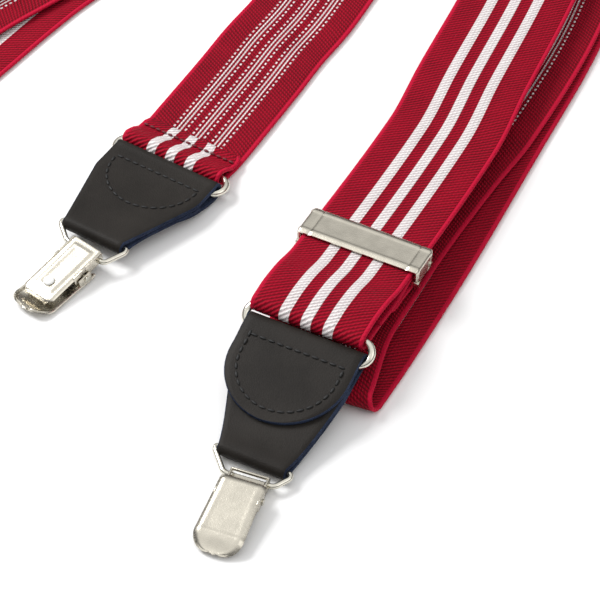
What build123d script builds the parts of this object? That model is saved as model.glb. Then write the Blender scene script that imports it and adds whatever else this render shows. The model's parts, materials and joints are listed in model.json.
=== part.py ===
"""Suspenders laid out flat: two crossed elastic straps on a leather back patch, four clip ends.

Millimetres, +Z up. The origin is the centre of the back patch's underside, which rests on z = 0.
+Y points away from the front clips. Each strap runs from a front clip, through its adjuster, is
folded twice, passes the back patch, is folded once more and ends at a rear clip.
"""

from build123d import *
from math import cos, pi, radians, sin, sqrt
import os

# Webbing
STRAP_WIDTH = 35.0
STRAP_THICKNESS = 1.4
SOFT_GAP = 0.3

# Rings between webbing and leather: two straight bars joined by half-round ends
RING_WIRE = 2.2
RING_END_TUCK = 0.6
RING_BAR_SPACING = 7.2

# Leather tabs, each one strip looped round the ring and round the clip's wire loop. They taper
# from TAPER_START down, and hang askew from ASKEW_START down.
LEATHER = 1.3
LAYER_GAP = 0.1
FRONT_TAB_LENGTH = 37.5
REAR_TAB_LENGTH = 33.5
TAB_TOP_WIDTH = 35.0
TAB_BOTTOM_WIDTH = 20.6
FRONT_FLAP = 26.5
REAR_FLAP = 19.5
TAPER_START = 10.0
ASKEW_START = 8.0
INNER_END = 7.0
STITCH_INSET = 4.2
STITCH_WIDTH = 0.9
STITCH_HEIGHT = 0.3
STITCH_CLEAR = 0.35

# Webbing's sewn ends: the rear one lies back over the strap, the front one hangs on the adjuster
REAR_TAIL = 11.0
REAR_SEAM = 7.5
FRONT_TAIL = 13.0
FRONT_SEAM = 10.0

# Wire loop that joins the leather to the clip
LOOP_WIRE = 1.6
LOOP_SIDE_GAP = 0.8
LOOP_LENGTH = 6.9
LOOP_SHOULDER = 2.6
LOOP_STUB = 1.9

# Clip
SHEET = 0.7
CLIP_WIDTH = 13.0
NOSE_WIDTH = 14.4
CLIP_LENGTH = 26.0
BACK_LENGTH = 23.0
BACK_START = 1.8
CLIP_HALF_HEIGHT = 3.2
SIDE_GAP = 0.15
PIVOT_Y = -6.5
PIN_RADIUS = 0.9
RUNNING_GAP = 0.05
FRONT_SLOPE = 8.3
FRONT_START = -3.2
NOSE_RADIUS = 5.2
PAD_RADIUS = 3.4
STUD_RADIUS = 1.5
PAD_Y = -14.8
LOOP_HOLE_Z = -0.9

# Slide adjuster
PLATE_HEIGHT = 11.2
PLATE_THICKNESS = 0.8
PLATE_SIDE_GAP = 0.7
BAR_RADIUS = 1.0
BAR_Y = -4.4
KNUCKLE_RADIUS = 1.6
HINGE_Y = 3.6
ADJUSTER_UP = 35.0

# Back patch
PATCH_LONG = 66.0
PATCH_SHORT = 42.0
PATCH_CORNER = 6.0
PATCH_TURN = 55.0
PATCH_LEATHER = 1.2
PATCH_GAP = 0.05
PATCH_STITCH_INSET = 2.6

UP = Vector(0, 0, 1)
MIDDLE = STRAP_THICKNESS / 2
RING_WRAP = RING_WIRE / 2 + SOFT_GAP + MIDDLE
BAR_WRAP = BAR_RADIUS + SOFT_GAP + MIDDLE
LEATHER_AT_RING = RING_WIRE / 2 + LAYER_GAP + LEATHER / 2
LEATHER_AT_LOOP = LOOP_WIRE / 2 + LAYER_GAP + LEATHER / 2
LAYER_STEP = LEATHER + LAYER_GAP
UNDER = PATCH_LEATHER + PATCH_GAP + MIDDLE
OVER = UNDER + STRAP_THICKNESS + PATCH_GAP
FLANGE_OUT = CLIP_WIDTH / 2 - SHEET - SIDE_GAP
FLOOR = -CLIP_HALF_HEIGHT
ADJUSTER_HALF = STRAP_WIDTH / 2 + PLATE_SIDE_GAP
PLATE_BOTTOM = MIDDLE + 0.25
BAR_Z = -(MIDDLE + SOFT_GAP + BAR_WRAP + MIDDLE)
HINGE_Z = -(MIDDLE + 0.2 + KNUCKLE_RADIUS)

# Where the webbing lies, as (x, y, height of its middle): from above the adjuster's straight
# stretch to the rear ring. It folds over between one leg and the next.
STRAP_1 = [
    [(-58, -190, 9.8), (-45.5, -160, 9.3), (-32, -126, 9.3), (-21, -101, 9.6)],
    [(-19, -100, 2.9), (-21, -116, 2.9), (-27.5, -140, 2.9), (-38, -167, 2.9), (-56, -203, 2.9),
     (-67.5, -221.5, 3.0), (-83, -248.5, 3.3), (-94.5, -271.5, 4.1), (-102, -288, 4.9),
     (-107.6, -309, 5.9)],
    [(-104.9, -308.8, 0.7), (-94.6, -289.7, 0.7), (-77.2, -255, 0.7), (-53.7, -205, 0.7),
     (-34.9, -164.5, 0.7), (-20, -125.1, 0.7), (-9.2, -84.5, 0.7), (-3.4, -54, 0.7),
     (-0.8, -34, OVER), (0, 0, OVER), (-1.2, 34, OVER), (-3.8, 48, 1.6), (-8, 62, 0.7)],
    [(-10.5, 68, 5.4), (-35, 24, 4.4), (-56, -28, 3.9), (-79, -84, 2.0), (-103.6, -136, 0.7),
     (-111, -151, 0.7), (-119.3, -165, 0.7), (-126.6, -179, 0.7), (-138.5, -201, 0.9)],
]
STRAP_2 = [
    [(-220, -131, 9.6), (-192, -112, 9.4), (-163, -98, 9.6)],
    [(-161, -101, 2.9), (-181, -116, 2.9), (-199.6, -132.4, 2.9), (-217.4, -148.8, 2.9),
     (-236, -171, 2.9), (-252, -199, 3.4), (-264, -229, 4.7)],
    [(-263, -230.5, 0.7), (-243, -203, 0.7), (-218.4, -169, 0.7), (-203, -147.2, 0.7),
     (-191.3, -132.3, 0.7), (-159.5, -98.4, 0.7), (-122.1, -67.9, 0.7), (-83.9, -41.1, 0.7),
     (-46, -19.5, 0.7), (-24, -9.5, UNDER), (0, 0, UNDER), (24, 8.2, UNDER), (44, 14.6, 0.7),
     (62, 19.5, 0.7)],
    [(68, 18, 4.5), (54, -40, 2.6), (43, -95, 1.2), (32, -150, 0.7), (22, -205, 0.7)],
]

# The four ends. face is 1 where the front lies up and -1 where the back does; heading is the
# webbing's direction at the ring; ring is the bar that carries the leather; askew is how far the
# leather's lower end hangs to one side; loop_z is the height of the wire loop's bar in it.
ENDS = {
    1: {"face": 1, "heading": 63.0, "ring": (-111.2, -300.6, 10.4), "tilt": 30.0,
        "askew": 4.8, "loop_z": 2.5, "loop_heading": 80.0, "clip_heading": 69.0},
    2: {"face": -1, "heading": 57.5, "ring": (-152.7, -224.3, 3.4), "tilt": 0.0,
        "askew": 0.0, "loop_z": 4.9, "loop_heading": 69.0, "clip_heading": 50.0},
    3: {"face": 1, "heading": 50.0, "ring": (-322.0, -242.0, 10.4), "tilt": 30.0,
        "askew": -1.2, "loop_z": 2.5, "loop_heading": 50.0, "clip_heading": 54.0},
    4: {"face": -1, "heading": 80.0, "ring": (12.8, -262.0, 3.4), "tilt": 0.0,
        "askew": 0.9, "loop_z": 4.9, "loop_heading": 82.0, "clip_heading": 86.0},
}
FRONT_ENDS = (1, 3)
STRAIGHT_START = 24.0
STRAIGHT_END = 88.0


def compass(angle):
    """Level unit vector at this angle from +X."""
    return Vector(cos(radians(angle)), sin(radians(angle)), 0)


def level(vector):
    return Vector(vector.X, vector.Y, 0).normalized()


def turned_right(vector):
    return Vector(vector.Y, -vector.X, 0)


def along_at(points, i):
    """Travel direction at a point of a leg, midway between its two runs."""
    before, after = points[max(i - 1, 0)], points[min(i + 1, len(points) - 1)]
    runs = [run.normalized() for run in (points[i] - before, after - points[i]) if run.length > 0]
    return sum(runs, Vector(0, 0, 0)).normalized()


def ribbon(stations, thickness):
    """Closed strip through stations of (middle, sideways vector as long as the width, normal)."""
    sections = []
    for middle, across, normal in stations:
        side, lift = across / 2, normal * (thickness / 2)
        corners = [middle - side - lift, middle + side - lift, middle + side + lift,
                   middle - side + lift]
        sections.append(Wire.make_polygon(corners, close=True))
    return Solid.make_loft(sections, ruled=True)


def half_ring(start, end, out, across, normal, steps=6):
    """Stations of a fold from start to end, which lie one over the other, bulging towards out."""
    radius = (start - end).length / 2
    rise = (start - end).normalized()
    sign = 1 if normal.dot(rise) > 0 else -1
    stations = []
    for i in range(1, steps):
        angle = pi * i / steps
        outward = out * sin(angle) + rise * cos(angle)
        stations.append(((start + end) / 2 + outward * radius, across, outward * sign))
    return stations


def fold_over(start, end, out, across, normal):
    """A webbing fold. Its two sides may lie a little off each other, which it evens out."""
    shift = level_part(end - start)
    upright = half_ring(start, end - shift, out, across, normal)
    return [(middle + shift * ((i + 1) / 6), a, n) for i, (middle, a, n) in enumerate(upright)]


def level_part(vector):
    return Vector(vector.X, vector.Y, 0)


def webbing(legs):
    """One length of webbing through legs of points, folded over between one leg and the next."""
    legs = [[Vector(*point) for point in leg] for leg in legs]
    outs = [(level(before[-1] - before[-2]) - level(after[1] - after[0])).normalized()
            for before, after in zip(legs, legs[1:])]
    stations, side = [], 1
    for number, leg in enumerate(legs):
        for i, point in enumerate(leg):
            along = along_at(leg, i)
            forward = level(along)
            across = turned_right(forward)
            fold = None
            if i == 0 and number > 0:
                fold = outs[number - 1] * -1
            if i == len(leg) - 1 and number < len(outs):
                fold = outs[number]
            if fold is not None:
                across = turned_right(fold) / fold.dot(forward)
                along = fold
            across = across * (side * STRAP_WIDTH)
            stations.append((point, across, across.cross(along).normalized()))
        if number < len(outs):
            _, across, normal = stations[-1]
            stations += fold_over(leg[-1], legs[number + 1][0], outs[number], across, normal)
        side = -side
    return ribbon(stations, STRAP_THICKNESS)


class End:
    """Where one clip end's bars and axes are."""

    def __init__(self, face, heading, ring, tilt, askew, loop_z, loop_heading, clip_heading):
        self.face = face
        self.out = compass(heading)
        self.across = turned_right(self.out)
        self.leather_bar = Vector(*ring)
        self.rise = self.out * cos(radians(tilt)) + UP * sin(radians(tilt))
        self.webbing_bar = self.leather_bar + self.rise * RING_BAR_SPACING
        self.tab_length, self.flap = (
            (FRONT_TAB_LENGTH, FRONT_FLAP) if face > 0 else (REAR_TAB_LENGTH, REAR_FLAP))
        drop = self.leather_bar.Z - loop_z
        run = sqrt(self.tab_length**2 - drop**2)
        self.leather_up = (self.out * run + UP * drop).normalized()
        self.leather_face = self.across.cross(self.leather_up) * face
        self.askew = askew
        self.loop_bar = self.leather_spot(self.tab_length, 0)
        self.clip_out = compass(clip_heading)
        self.clip = self.place_clip(self.loop_bar - compass(loop_heading) * LOOP_LENGTH)
        holes = [self.clip * Pos(x, 0, LOOP_HOLE_Z) for x in (-CLIP_WIDTH / 2, CLIP_WIDTH / 2)]
        self.loop_pivot = (holes[0].position + holes[1].position) / 2

    def leather_spot(self, down, height):
        """Middle of the leather this far down from the ring's bar and this far off its plane."""
        share = max(0, (down - ASKEW_START) / (self.tab_length - ASKEW_START))
        sideways = self.across * (self.askew * share)
        return self.leather_bar - self.leather_up * down + self.leather_face * height + sideways

    def place_clip(self, spot):
        """The clip lies on its back plate where the front is up, and on its front plate if not."""
        if self.face > 0:
            height = CLIP_HALF_HEIGHT
            return Location(Plane((spot.X, spot.Y, height), turned_right(self.clip_out), UP))
        tip = radians(FRONT_SLOPE)
        height = CLIP_HALF_HEIGHT * cos(tip) - FRONT_START * sin(tip)
        down = Plane((spot.X, spot.Y, height), turned_right(self.clip_out) * -1, UP * -1)
        return Location(down) * Rot(-FRONT_SLOPE, 0, 0)

    def over_ring(self, distance, height):
        """Point this far up the webbing from the ring's bar, at this height."""
        spot = self.webbing_bar + self.out * distance
        return (spot.X, spot.Y, height)


def front_legs(end, rest):
    """Legs of a strap's front end: round the ring's bar, over it and through the adjuster."""
    z = end.webbing_bar.Z
    under, over = z - RING_WRAP, z + RING_WRAP
    start, finish = adjuster_line(end)
    back = [end.over_ring(9, under - 0.6), end.over_ring(0, under)]
    front = [end.over_ring(0, over), end.over_ring(6, over + 0.5), end.over_ring(14, over - 0.4),
             tuple(start), tuple(finish)]
    return [back, front + rest[0]] + rest[1:]


def rear_legs(end, rest):
    """Legs of a strap's rear end: under the ring's bar, round it, and back as a short tail."""
    z = end.webbing_bar.Z
    last = rest[-1] + [end.over_ring(9, MIDDLE), end.over_ring(0, z - RING_WRAP)]
    on_top = MIDDLE + STRAP_THICKNESS + SOFT_GAP
    tail = [end.over_ring(0, z + RING_WRAP), end.over_ring(REAR_SEAM - 1.5, on_top),
            end.over_ring(REAR_TAIL, on_top)]
    return rest[:-1] + [last, tail]


def adjuster_line(end):
    """The straight stretch of webbing that the adjuster slides along, as its two ends."""
    z = end.webbing_bar.Z
    return (Vector(*end.over_ring(STRAIGHT_START, z - 0.8)),
            Vector(*end.over_ring(STRAIGHT_END, z - 3.6)))


def adjuster_place(end):
    """The adjuster's own frame: X across, Y up the webbing, origin in the webbing's middle."""
    start, finish = adjuster_line(end)
    along = (finish - start).normalized()
    origin = start + along * (ADJUSTER_UP - STRAIGHT_START)
    return Location(Plane(origin, end.across, end.across.cross(along)))


def strap_tail(end):
    """The webbing's sewn end: up behind the front layer, round the adjuster's bar and back."""
    place = adjuster_place(end)
    bar = (place * Pos(0, BAR_Y, BAR_Z)).position
    from_ring = (bar - end.webbing_bar).dot(end.out)
    bottom = end.over_ring(9 + SOFT_GAP, end.webbing_bar.Z - RING_WRAP - 0.6)
    up = [bottom, end.over_ring(from_ring - 10, bar.Z + 1.0), tuple(bar + UP * BAR_WRAP)]
    down = [tuple(bar - UP * BAR_WRAP), end.over_ring(from_ring - 7, bar.Z - 0.9),
            end.over_ring(from_ring - FRONT_TAIL, bar.Z - 0.9)]
    return webbing([up, down])


def leather_tab(end):
    """One leather strip: from inside the seam, round the wire loop, up the back, over the ring
    and down the front as a half-round flap."""
    length = end.tab_length

    def station(down, height, width):
        return (end.leather_spot(down, height), end.across * width, end.leather_face)

    def width(down):
        share = max(0, (down - TAPER_START) / (length - TAPER_START))
        return TAB_TOP_WIDTH + (TAB_BOTTOM_WIDTH - TAB_TOP_WIDTH) * share

    turn = length - INNER_END - 2
    front = [station(down, height, width(down)) for down, height in
             [(INNER_END, 0), (TAPER_START, 0), (turn, 0), (length, LEATHER_AT_LOOP)]]
    back = [station(down, height, width(down)) for down, height in
            [(length, -LEATHER_AT_LOOP), (turn, -LAYER_STEP), (TAPER_START, -LAYER_STEP),
             (INNER_END, -LAYER_STEP), (0, -LEATHER_AT_RING)]]
    back = [(middle, across, normal * -1) for middle, across, normal in back]
    flap = [(end.leather_bar + end.leather_face * LEATHER_AT_RING, end.across * TAB_TOP_WIDTH,
             end.leather_face)]
    radius = TAB_TOP_WIDTH / 2
    for angle in range(0, 85, 12):
        down = end.flap - radius + radius * sin(radians(angle))
        settled = min(1, down / INNER_END)
        height = LEATHER_AT_RING + (LAYER_STEP - LEATHER_AT_RING) * settled
        spot = end.leather_bar - end.leather_up * down + end.leather_face * height
        flap.append((spot, end.across * (2 * radius * cos(radians(angle))), end.leather_face))
    stations = front
    stations += half_ring(front[-1][0], back[0][0], end.leather_up * -1, *front[-1][1:])
    stations += back
    stations += half_ring(back[-1][0], flap[0][0], end.leather_up, *back[-1][1:])
    stations += flap
    return ribbon(stations, LEATHER)


def tab_stitching(end):
    """D-shaped row of thread round the flap, as one thin band on its outer face."""
    bend = TAB_TOP_WIDTH / 2 - end.flap

    def half_round(inset):
        size, top = TAB_TOP_WIDTH / 2 - inset, -inset
        outline = Pos(0, bend) * Circle(size)
        if top > bend:
            outline += Pos(0, (bend + top) / 2) * Rectangle(2 * size, top - bend)
        return outline - Pos(0, top + size) * Rectangle(3 * size, 2 * size)

    band = half_round(STITCH_INSET) - half_round(STITCH_INSET + STITCH_WIDTH)
    height = LAYER_STEP + LEATHER / 2 + STITCH_CLEAR
    spot = end.leather_bar + end.leather_face * height
    return Plane(spot, end.across * end.face, end.leather_face).location * extrude(band, STITCH_HEIGHT)


def ring(end):
    """Oval wire ring."""
    length = STRAP_WIDTH - 2 * RING_END_TUCK
    path = SlotCenterToCenter(length, RING_BAR_SPACING).wire()
    section = Plane(path @ 0, z_dir=path % 0) * Circle(RING_WIRE / 2)
    middle = (end.leather_bar + end.webbing_bar) / 2
    place = Plane(middle, end.across, end.across.cross(end.rise))
    return place.location * sweep(section, path=path)


def bent_wire(points, radius):
    """Round wire through points, its corners rounded off to its own radius."""
    wire = None
    for start, stop in zip(points, points[1:]):
        span = stop - start
        rod = Solid.make_cylinder(radius, span.length, Plane(start, z_dir=span.normalized()))
        wire = rod if wire is None else wire + rod
    for corner in points[1:-1]:
        wire = wire + Pos(*corner) * Sphere(radius)
    return wire


def wire_loop(end):
    """Wire bent to a trapezium: its long bar in the leather, its two ends in the clip's sides."""
    half_bar = TAB_BOTTOM_WIDTH / 2 + LOOP_SIDE_GAP + LOOP_WIRE / 2
    half_neck = CLIP_WIDTH / 2 + LOOP_WIRE / 2
    bar = [end.loop_bar + end.across * (half_bar * side) for side in (-1, 1)]
    flip = end.face
    necks = [(end.clip * Pos(side * flip * half_neck, 0, LOOP_HOLE_Z)).position
             for side in (-1, 1)]
    stubs = [(end.clip * Pos(side * flip * (half_neck - LOOP_WIRE / 2 - LOOP_STUB), 0,
                             LOOP_HOLE_Z)).position for side in (-1, 1)]
    down = (end.loop_pivot - end.loop_bar).normalized() * LOOP_SHOULDER
    shoulders = [point + down for point in bar]
    points = [stubs[0], necks[0], shoulders[0], bar[0], bar[1], shoulders[1], necks[1], stubs[1]]
    return bent_wire(points, LOOP_WIRE / 2)


def clip_back():
    """Back plate: a flat tongue with two side flanges that carry the pin and the wire loop."""
    plate = Pos(0, BACK_START - BACK_LENGTH / 2, FLOOR) * Box(
        2 * FLANGE_OUT, BACK_LENGTH, SHEET, align=(Align.CENTER, Align.CENTER, Align.MIN))
    corners = plate.edges().filter_by(Axis.Z).group_by(Axis.Y)[0]
    plate = chamfer(corners, 2.0)
    outline = Polyline((BACK_START, FLOOR), (BACK_START, 0.6), (-3.6, 0.6), (PIVOT_Y + 1.3, 1.5),
                       (PIVOT_Y - 1.3, 1.5), (-10.5, FLOOR + SHEET), (-10.5, FLOOR), close=True)
    flange = extrude(Plane.YZ * make_face(outline), SHEET)
    flanges = Pos(FLANGE_OUT - SHEET, 0, 0) * flange + Pos(-FLANGE_OUT, 0, 0) * flange
    bridge = Pos(0, BACK_START, 0.1) * Box(
        2 * FLANGE_OUT, SHEET, SHEET, align=(Align.CENTER, Align.MAX, Align.CENTER))
    jaw = Pos(0, BACK_START - BACK_LENGTH, FLOOR) * Box(
        2 * FLANGE_OUT - 4.0, SHEET, 1.4, align=(Align.CENTER, Align.MIN, Align.MIN))
    body = plate + flanges + bridge + jaw
    across = Rot(0, 90, 0)
    body -= Pos(0, PIVOT_Y, 0) * across * Cylinder(PIN_RADIUS, CLIP_WIDTH)
    body -= Pos(0, 0, LOOP_HOLE_Z) * across * Cylinder(LOOP_WIRE / 2 + RUNNING_GAP, CLIP_WIDTH)
    return body - Pos(0, PAD_Y, FLOOR) * Cylinder(STUD_RADIUS, 3 * SHEET)


def clip_front():
    """Front plate: a smooth sloping cover with a rounded nose and two ears on the pin."""
    length = (CLIP_LENGTH + FRONT_START) / cos(radians(FRONT_SLOPE))
    cover = make_face(Polyline((-CLIP_WIDTH / 2, 0), (-NOSE_WIDTH / 2, -length),
                               (NOSE_WIDTH / 2, -length), (CLIP_WIDTH / 2, 0), close=True))
    cover = fillet(cover.vertices().group_by(Axis.Y)[0], NOSE_RADIUS)
    slope = Pos(0, FRONT_START, CLIP_HALF_HEIGHT) * Rot(FRONT_SLOPE, 0, 0)
    plate = slope * extrude(cover, -SHEET)
    top = CLIP_HALF_HEIGHT - SHEET / 2
    outline = Polyline((PIVOT_Y + 2.2, top - 0.3), (PIVOT_Y + 1.9, -1.2), (PIVOT_Y - 1.9, -1.2),
                       (PIVOT_Y - 3.4, top - 1.0), close=True)
    ear = extrude(Plane.YZ * make_face(outline), SHEET)
    ears = Pos(CLIP_WIDTH / 2 - SHEET, 0, 0) * ear + Pos(-CLIP_WIDTH / 2, 0, 0) * ear
    body = plate + ears
    hole = Cylinder(PIN_RADIUS + RUNNING_GAP, 2 * CLIP_WIDTH)
    return body - Pos(0, PIVOT_Y, 0) * Rot(0, 90, 0) * hole


def clip_pin():
    """Rivet pin through the ears and the flanges."""
    return Pos(0, PIVOT_Y, 0) * Rot(0, 90, 0) * Cylinder(PIN_RADIUS, CLIP_WIDTH + 0.8)


def clip_pad():
    """Round plastic gripping pad on the back plate, held by its stud through the plate."""
    foot = FLOOR + SHEET
    drop = (PAD_Y - FRONT_START) * sin(radians(FRONT_SLOPE))
    top = CLIP_HALF_HEIGHT + drop - SHEET - PAD_RADIUS * sin(radians(FRONT_SLOPE)) - 0.3
    pad = Pos(0, PAD_Y, foot) * Cylinder(
        PAD_RADIUS, top - foot, align=(Align.CENTER, Align.CENTER, Align.MIN))
    stud = Pos(0, PAD_Y, FLOOR) * Cylinder(
        STUD_RADIUS, SHEET, align=(Align.CENTER, Align.CENTER, Align.MIN))
    return pad + stud


def clip_spring():
    """Leaf spring bowed up between the back plate and the pin."""
    outline = Polyline((-1.6, FLOOR + SHEET), (-4.2, -1.6), (-8.8, -1.6), (-11.4, FLOOR + SHEET),
                       (-10.8, FLOOR + SHEET), (-8.5, -2.1), (-4.5, -2.1), (-2.2, FLOOR + SHEET),
                       close=True)
    return extrude(Plane.YZ * make_face(outline), FLANGE_OUT - SHEET - 1.2, both=True)


def adjuster_plate():
    """Front plate folded back at both ends into ears that hold the hinge pin and the bar."""
    plate = Pos(0, 0, PLATE_BOTTOM) * Box(
        2 * (ADJUSTER_HALF + PLATE_THICKNESS), PLATE_HEIGHT, PLATE_THICKNESS,
        align=(Align.CENTER, Align.CENTER, Align.MIN))
    depth = PLATE_BOTTOM - BAR_Z + BAR_RADIUS + 0.6
    ear = Box(PLATE_THICKNESS, PLATE_HEIGHT, depth, align=(Align.MIN, Align.CENTER, Align.MAX))
    ears = Pos(ADJUSTER_HALF, 0, PLATE_BOTTOM) * ear
    ears += Pos(-ADJUSTER_HALF - PLATE_THICKNESS, 0, PLATE_BOTTOM) * ear
    body = plate + ears
    corners = body.edges().filter_by(Axis.X).group_by(Axis.Z)[0]
    body = fillet(corners, 1.2)
    long_hole = 3 * ADJUSTER_HALF
    body -= Pos(0, BAR_Y, BAR_Z) * Rot(0, 90, 0) * Cylinder(BAR_RADIUS, long_hole)
    return body - Pos(0, HINGE_Y, HINGE_Z) * Rot(0, 90, 0) * Cylinder(PIN_RADIUS, long_hole)


def cross_rod(y, z, radius):
    """Round rod across the adjuster, headed flush with the ears."""
    return Pos(0, y, z) * Rot(0, 90, 0) * Cylinder(radius, 2 * (ADJUSTER_HALF + PLATE_THICKNESS) + 1)


def adjuster_lever():
    """Toothed lever that hinges on the pin and bites the webbing from behind."""
    width = 2 * (ADJUSTER_HALF - SIDE_GAP)
    rod = Rot(0, 90, 0) * Cylinder(KNUCKLE_RADIUS, width)
    reach = HINGE_Y - (BAR_Y + BAR_WRAP + MIDDLE + SOFT_GAP)
    blade = Pos(0, 0, -KNUCKLE_RADIUS) * Box(
        width, reach, PLATE_THICKNESS, align=(Align.CENTER, Align.MAX, Align.MIN))
    body = rod + blade
    body -= Rot(0, 90, 0) * Cylinder(PIN_RADIUS + RUNNING_GAP, 2 * width)
    return Pos(0, HINGE_Y, HINGE_Z) * body


def back_patch(bottom, thickness):
    """Leather diamond with rounded corners, its long way between the two straps."""
    outline = Polyline((-PATCH_LONG / 2, 0), (0, -PATCH_SHORT / 2), (PATCH_LONG / 2, 0),
                       (0, PATCH_SHORT / 2), close=True)
    diamond = make_face(outline)
    diamond = fillet(diamond.vertices(), PATCH_CORNER)
    return Pos(0, 0, bottom) * Rot(0, 0, PATCH_TURN) * extrude(diamond, thickness)


def patch_stitching(bottom):
    """Row of thread round the patch's top leather, as one thin band."""
    outer = back_patch(bottom, STITCH_HEIGHT)
    face = outer.faces().sort_by(Axis.Z)[-1]
    band = (offset(face, -PATCH_STITCH_INSET, kind=Kind.ARC)
            - offset(face, -PATCH_STITCH_INSET - STITCH_WIDTH, kind=Kind.ARC))
    return extrude(band, -STITCH_HEIGHT, dir=(0, 0, 1))


def seam(end, front):
    """Row of thread that closes the webbing's sewn end, as one thin band across it."""
    band = Box(STRAP_WIDTH - 1.5, STITCH_WIDTH, STITCH_HEIGHT)
    if front:
        place = adjuster_place(end)
        bar = (place * Pos(0, BAR_Y, BAR_Z)).position
        spot = bar - end.out * FRONT_SEAM - UP * (0.9 + MIDDLE + STITCH_HEIGHT / 2 + 0.02)
    else:
        top = 2 * STRAP_THICKNESS + SOFT_GAP
        spot = Vector(*end.over_ring(REAR_SEAM, top + STITCH_HEIGHT / 2 + 0.02))
    return Location(Plane(spot, end.across, UP)) * band


def main():
    os.makedirs("parts", exist_ok=True)
    ends = {number: End(**values) for number, values in ENDS.items()}
    nodes = {
        "strap_1": webbing(rear_legs(ends[2], front_legs(ends[1], STRAP_1))),
        "strap_2": webbing(rear_legs(ends[4], front_legs(ends[3], STRAP_2))),
        "back_patch_under": back_patch(0, PATCH_LEATHER),
        "back_patch_top": back_patch(OVER + MIDDLE + PATCH_GAP, PATCH_LEATHER),
        "back_patch_stitching": patch_stitching(OVER + MIDDLE + 2 * PATCH_GAP + PATCH_LEATHER),
    }
    for number, end in ends.items():
        front = number in FRONT_ENDS
        nodes[f"ring_{number}"] = ring(end)
        nodes[f"leather_tab_{number}"] = leather_tab(end)
        nodes[f"tab_stitching_{number}"] = tab_stitching(end)
        nodes[f"wire_loop_{number}"] = wire_loop(end)
        nodes[f"webbing_seam_{number}"] = seam(end, front)
        for name, shape in (("back", clip_back()), ("front", clip_front()), ("pin", clip_pin()),
                            ("pad", clip_pad()), ("spring", clip_spring())):
            nodes[f"clip_{name}_{number}"] = end.clip * shape
        if front:
            place = adjuster_place(end)
            nodes[f"strap_tail_{number}"] = strap_tail(end)
            nodes[f"adjuster_plate_{number}"] = place * adjuster_plate()
            nodes[f"adjuster_lever_{number}"] = place * adjuster_lever()
            nodes[f"adjuster_pin_{number}"] = place * cross_rod(HINGE_Y, HINGE_Z, PIN_RADIUS)
            nodes[f"adjuster_bar_{number}"] = place * cross_rod(BAR_Y, BAR_Z, BAR_RADIUS)
    for name, shape in nodes.items():
        export_step(shape, f"parts/{name}.step")


main()
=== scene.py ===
"""Suspenders, as they lie folded on a table: webbing, rings, leather tabs, clips and adjusters."""

import bpy
import bmesh
import json
from math import atan2, cos, pi, radians, sin, sqrt
from mathutils import Matrix, Vector


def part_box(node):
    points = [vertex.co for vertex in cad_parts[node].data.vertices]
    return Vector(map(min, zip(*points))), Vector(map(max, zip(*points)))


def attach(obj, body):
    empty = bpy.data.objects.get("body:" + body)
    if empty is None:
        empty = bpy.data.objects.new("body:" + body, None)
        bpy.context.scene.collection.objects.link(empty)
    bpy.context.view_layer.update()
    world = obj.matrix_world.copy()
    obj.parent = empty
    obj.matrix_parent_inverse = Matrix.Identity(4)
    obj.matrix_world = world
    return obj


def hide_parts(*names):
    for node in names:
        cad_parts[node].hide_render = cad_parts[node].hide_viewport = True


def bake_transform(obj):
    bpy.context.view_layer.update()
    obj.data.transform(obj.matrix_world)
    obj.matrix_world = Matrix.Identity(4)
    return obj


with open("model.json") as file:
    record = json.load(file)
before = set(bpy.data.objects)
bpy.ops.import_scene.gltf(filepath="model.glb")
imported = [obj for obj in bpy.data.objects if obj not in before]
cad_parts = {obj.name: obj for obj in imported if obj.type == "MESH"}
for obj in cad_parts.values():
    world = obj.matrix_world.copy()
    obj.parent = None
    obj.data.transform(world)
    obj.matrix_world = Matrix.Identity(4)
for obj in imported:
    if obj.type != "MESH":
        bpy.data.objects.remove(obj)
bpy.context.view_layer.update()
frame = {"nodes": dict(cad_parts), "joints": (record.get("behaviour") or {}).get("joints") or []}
bpy.ops.object.select_all(action="DESELECT")
joints = {joint["name"]: joint for joint in frame["joints"]}
MM = 0.001
UP = Vector((0, 0, 1))
FRONT_ENDS = (1, 3)
ENDS = (1, 2, 3, 4)


# ---- Floor, camera and lights -------------------------------------------------------------
# The suspenders lie on a plain white table. One large soft light stands behind them to the
# left, and a weaker one fills the shadows from the right.
bpy.ops.mesh.primitive_plane_add(size=6, location=(-0.11, -0.2, -0.0003))
table = bpy.context.object
table.name = "table_top"
plain = bpy.data.materials.new("plain_white")
plain.use_nodes = True
plain.node_tree.nodes["Principled BSDF"].inputs["Base Color"].default_value = (0.93, 0.93, 0.93, 1)
plain.node_tree.nodes["Principled BSDF"].inputs["Roughness"].default_value = 0.75
plain.node_tree.nodes["Principled BSDF"].inputs["Specular IOR Level"].default_value = 0.1
table.data.materials.append(plain)

TARGET = Vector((-0.111, -0.274, 0.0))
TILT = radians(46.808)
DISTANCE = 0.74504
bpy.context.scene.view_settings.view_transform = "Standard"
camera = bpy.data.objects.new("camera", bpy.data.cameras.new("camera"))
camera.data.lens = 156
camera.data.sensor_width = 36
camera.location = TARGET + Vector((0, -cos(TILT), sin(TILT))) * DISTANCE
camera.rotation_euler = (pi / 2 - TILT, 0, 0)
bpy.context.collection.objects.link(camera)
bpy.context.scene.camera = camera


def soft_light(name, spot, size, power):
    """Square light that faces the middle of the suspenders."""
    lamp = bpy.data.lights.new(name, "AREA")
    lamp.size = size
    lamp.energy = power
    holder = bpy.data.objects.new(name, lamp)
    holder.location = TARGET + Vector(spot)
    holder.rotation_euler = Vector(spot).to_track_quat("Z", "Y").to_euler()
    bpy.context.collection.objects.link(holder)


soft_light("key_light", (-0.6, 0.4, 0.75), 0.42, 9.0)
soft_light("fill_light", (0.9, -0.5, 0.9), 1.0, 2.2)
world = bpy.data.worlds.new("studio")
world.use_nodes = True
bpy.context.scene.world = world
world.node_tree.nodes["Background"].inputs["Strength"].default_value = 0.8


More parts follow.
